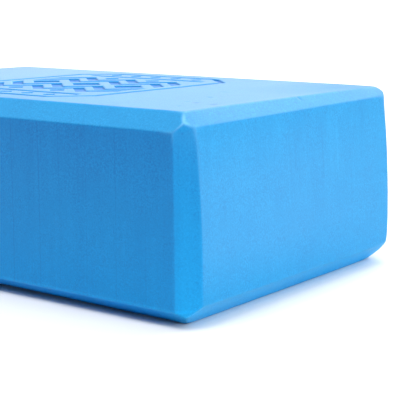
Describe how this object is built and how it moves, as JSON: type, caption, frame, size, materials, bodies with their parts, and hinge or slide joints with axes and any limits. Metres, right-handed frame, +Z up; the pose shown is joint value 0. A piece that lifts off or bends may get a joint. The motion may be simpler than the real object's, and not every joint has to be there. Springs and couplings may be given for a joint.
{
  "type": "foam block",
  "caption": "Solid rectangular foam block, lying on its largest face, with every edge trimmed flat and a shallow geometric band pattern pressed into its top.",
  "frame": {"origin": "centre of the underside, on the surface that the block lies on", "axes": "+X along the length, +Y across the width, +Z up through the thickness"},
  "size_m": [0.2286, 0.1524, 0.0762],
  "materials": {
    "foam": "matt closed-cell EVA foam, sky blue, saw-cut and sanded smooth"
  },
  "bodies": {
    "root": {"foam_block": "foam"}
  },
  "joints": []
}
